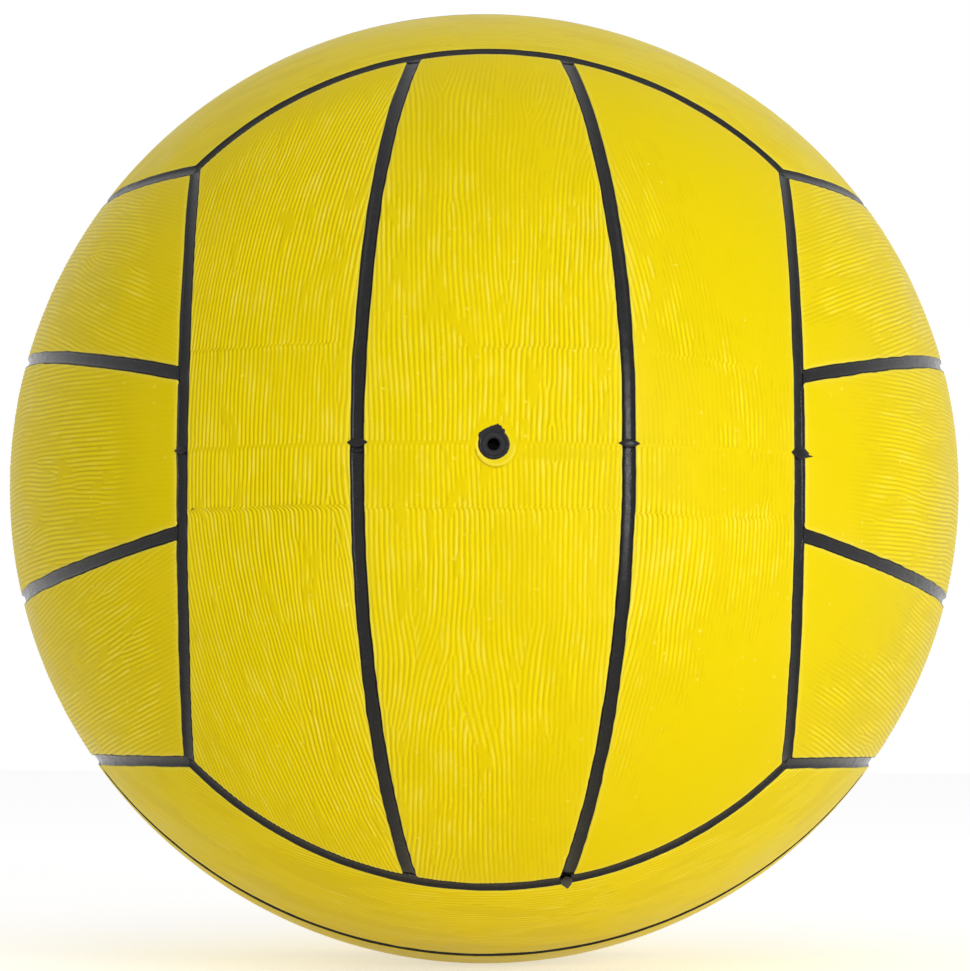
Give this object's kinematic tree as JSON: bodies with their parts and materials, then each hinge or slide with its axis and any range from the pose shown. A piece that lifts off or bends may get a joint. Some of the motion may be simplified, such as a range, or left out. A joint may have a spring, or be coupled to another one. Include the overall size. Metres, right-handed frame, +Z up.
{
  "type": "water polo ball",
  "caption": "Inflated moulded-rubber ball with ridged grip panels parted by recessed channels, and a needle valve in the front panel.",
  "frame": {"origin": "centre of the ball", "axes": "-Y through the valve, +Z up across the mould's parting line, +X to the right as the valve is looked at"},
  "size_m": [0.22, 0.22, 0.22],
  "materials": {
    "yellow_rubber": "matt, finely ridged for grip",
    "black_rubber": "satin, moulded",
    "valve_rubber": "satin, moulded",
    "core_rubber": "satin, soft",
    "butyl": "matt, dusted with talc",
    "carcass_rubber": "matt, buffed",
    "nylon": "wound thread, coated with latex"
  },
  "bodies": {
    "ball": {"bladder": "butyl", "valve_housing": "valve_rubber", "nylon_winding": "nylon", "carcass": "carcass_rubber", "front_centre_panel": "yellow_rubber", "back_centre_panel": "yellow_rubber", "right_centre_panel": "yellow_rubber", "left_centre_panel": "yellow_rubber", "top_centre_panel": "yellow_rubber", "bottom_centre_panel": "yellow_rubber", "front_right_panel": "yellow_rubber", "front_left_panel": "yellow_rubber", "back_left_panel": "yellow_rubber", "back_right_panel": "yellow_rubber", "right_upper_panel": "yellow_rubber", "right_lower_panel": "yellow_rubber", "left_upper_panel": "yellow_rubber", "left_lower_panel": "yellow_rubber", "top_back_panel": "yellow_rubber", "top_front_panel": "yellow_rubber", "bottom_back_panel": "yellow_rubber", "bottom_front_panel": "yellow_rubber", "front_right_edge_strip": "black_rubber", "front_right_inner_strip": "black_rubber", "front_left_edge_strip": "black_rubber", "front_left_inner_strip": "black_rubber", "back_left_edge_strip": "black_rubber", "back_left_inner_strip": "black_rubber", "back_right_edge_strip": "black_rubber", "back_right_inner_strip": "black_rubber", "right_upper_edge_strip": "black_rubber", "right_upper_inner_strip": "black_rubber", "right_lower_edge_strip": "black_rubber", "right_lower_inner_strip": "black_rubber", "left_upper_edge_strip": "black_rubber", "left_upper_inner_strip": "black_rubber", "left_lower_edge_strip": "black_rubber", "left_lower_inner_strip": "black_rubber", "top_back_edge_strip": "black_rubber", "top_back_inner_strip": "black_rubber", "top_front_edge_strip": "black_rubber", "top_front_inner_strip": "black_rubber", "bottom_back_edge_strip": "black_rubber", "bottom_back_inner_strip": "black_rubber", "bottom_front_edge_strip": "black_rubber", "bottom_front_inner_strip": "black_rubber"},
    "core": {"valve_core": "core_rubber"}
  },
  "joints": [
    {"name": "valve_core_pull", "type": "slide", "parent": "ball", "child": "core", "axis": [0, -1, 0], "range_m": [0, 0.03]}
  ]
}
